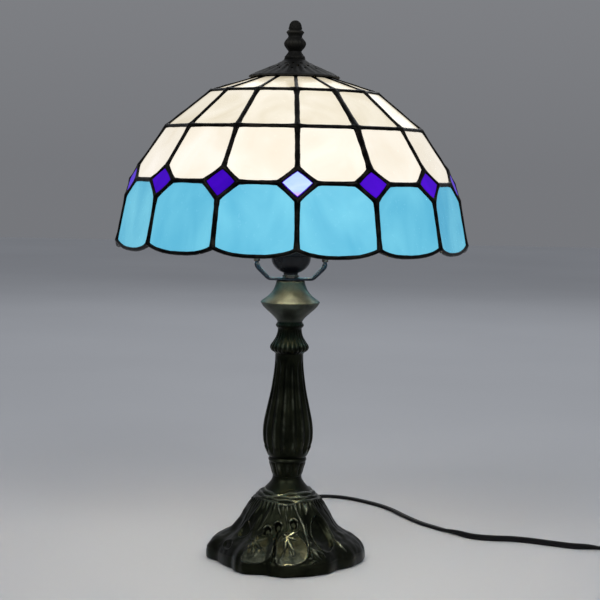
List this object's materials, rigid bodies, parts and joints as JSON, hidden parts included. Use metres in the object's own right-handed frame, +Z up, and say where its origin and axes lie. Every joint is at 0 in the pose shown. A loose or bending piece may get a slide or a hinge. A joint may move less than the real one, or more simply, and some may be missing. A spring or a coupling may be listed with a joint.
{
  "type": "leaded glass table lamp",
  "caption": "Table lamp with a domed leaded-glass shade in cream, blue and violet, a harp and finial, and a cast bronze lily-pad stand with a mains lead.",
  "frame": {"origin": "centre of the lamp's footprint on the surface it stands on, under the lamp's axis", "axes": "+Z up along the stem, -Y towards the front, +X to the lamp's right as seen from the front; the mains lead leaves towards +Y"},
  "size_m": [0.586, 0.4163, 0.467],
  "materials": {
    "leading": "soldered lead-tin lines with a black patina, soft sheen",
    "cream_glass": "opalescent cream art glass, faint clouding",
    "warm_white_glass": "opalescent warm white art glass, faint clouding",
    "blue_glass": "sky-blue streaky art glass",
    "violet_glass": "violet-blue cathedral glass, bevelled",
    "cap_bronze": "dark antique bronze, worn on its edges",
    "harp_bronze": "bronzed steel, satin",
    "brass": "plain turned brass",
    "dark_bronze": "cast metal, dark antique bronze with rubbed olive-gold highlights",
    "zinc_steel": "zinc plated steel",
    "felt": "green felt",
    "black_vinyl": "soft black vinyl",
    "black_phenolic": "black phenolic, satin gloss",
    "shell_aluminium": "bare aluminium",
    "frosted_glass": "inside-frosted bulb glass"
  },
  "bodies": {
    "stand": {"base_casting": "dark_bronze", "base_felt": "felt", "stem_casting": "dark_bronze", "bell_cap": "dark_bronze", "threaded_pipe": "zinc_steel", "bottom_nut": "zinc_steel", "bottom_washer": "zinc_steel", "harp_saddle": "harp_bronze", "saddle_locknut": "harp_bronze", "socket_cap": "black_phenolic", "socket_body": "black_phenolic", "socket_screw_shell": "shell_aluminium", "socket_contact": "brass", "cord_bushing": "black_vinyl", "cord": "black_vinyl", "switch_housing": "black_vinyl", "cord_coil": "black_vinyl", "plug": "black_vinyl"},
    "harp": {"harp": "harp_bronze"},
    "ferrule_left": {"ferrule_left": "harp_bronze"},
    "ferrule_right": {"ferrule_right": "harp_bronze"},
    "rest_disc": {"shade_rest_disc": "brass"},
    "shade": {"lead_lattice": "leading", "glass_row_top": "cream_glass", "glass_row_upper": "cream_glass", "glass_row_middle": "warm_white_glass", "blue_pane_01": "blue_glass", "blue_pane_02": "blue_glass", "blue_pane_03": "blue_glass", "blue_pane_04": "blue_glass", "blue_pane_05": "blue_glass", "blue_pane_06": "blue_glass", "blue_pane_07": "blue_glass", "blue_pane_08": "blue_glass", "blue_pane_09": "blue_glass", "blue_pane_10": "blue_glass", "blue_pane_11": "blue_glass", "blue_pane_12": "blue_glass", "blue_pane_13": "blue_glass", "blue_pane_14": "blue_glass", "jewel_01": "violet_glass", "jewel_02": "violet_glass", "jewel_03": "violet_glass", "jewel_04": "violet_glass", "jewel_05": "violet_glass", "jewel_06": "violet_glass", "jewel_07": "violet_glass", "jewel_08": "violet_glass", "jewel_09": "violet_glass", "jewel_10": "violet_glass", "jewel_11": "violet_glass", "jewel_12": "violet_glass", "jewel_13": "violet_glass", "jewel_14": "violet_glass"},
    "cap": {"vented_cap": "cap_bronze"},
    "finial_washer": {"finial_washer": "cap_bronze"},
    "finial": {"finial": "cap_bronze"},
    "bulb": {"bulb_base": "shell_aluminium", "bulb_glass": "frosted_glass"},
    "rocker": {"switch_rocker": "black_phenolic"}
  },
  "joints": [
    {"name": "harp_lift", "type": "slide", "parent": "stand", "child": "harp", "axis": [0, 0, 1], "range_m": [0, 0.025]},
    {"name": "ferrule_left_slide", "type": "slide", "parent": "harp", "child": "ferrule_left", "axis": [0, 0, 1], "range_m": [0, 0.008]},
    {"name": "ferrule_right_slide", "type": "slide", "parent": "harp", "child": "ferrule_right", "axis": [0, 0, 1], "range_m": [0, 0.008]},
    {"name": "shade_turn", "type": "hinge", "parent": "harp", "child": "rest_disc", "pos_m": [0, 0, 0.4126], "axis": [0, 0, 1], "continuous": true},
    {"name": "shade_lift", "type": "slide", "parent": "rest_disc", "child": "shade", "axis": [0, 0, 1], "range_m": [0, 0.17]},
    {"name": "cap_lift", "type": "slide", "parent": "shade", "child": "cap", "axis": [0, 0, 1], "range_m": [0, 0.04]},
    {"name": "finial_rise", "type": "slide", "parent": "cap", "child": "finial_washer", "axis": [0, 0, 1], "range_m": [0, 0.00755]},
    {"name": "finial_turn", "type": "hinge", "parent": "finial_washer", "child": "finial", "pos_m": [0, 0, 0.4354], "axis": [0, 0, 1], "range_deg": [0, 2880]},
    {"name": "bulb_out", "type": "slide", "parent": "stand", "child": "bulb", "axis": [0, 0, 1], "range_m": [0, 0.028]},
    {"name": "rocker_tilt", "type": "hinge", "parent": "stand", "child": "rocker", "pos_m": [0.331, 0.043, 0.0132], "axis": [0, 1, 0], "range_deg": [-18, 0]}
  ],
  "couplings": [
    {"joint": "finial_rise", "follows": "finial_turn", "m_per_rad": 0.00014972}
  ]
}
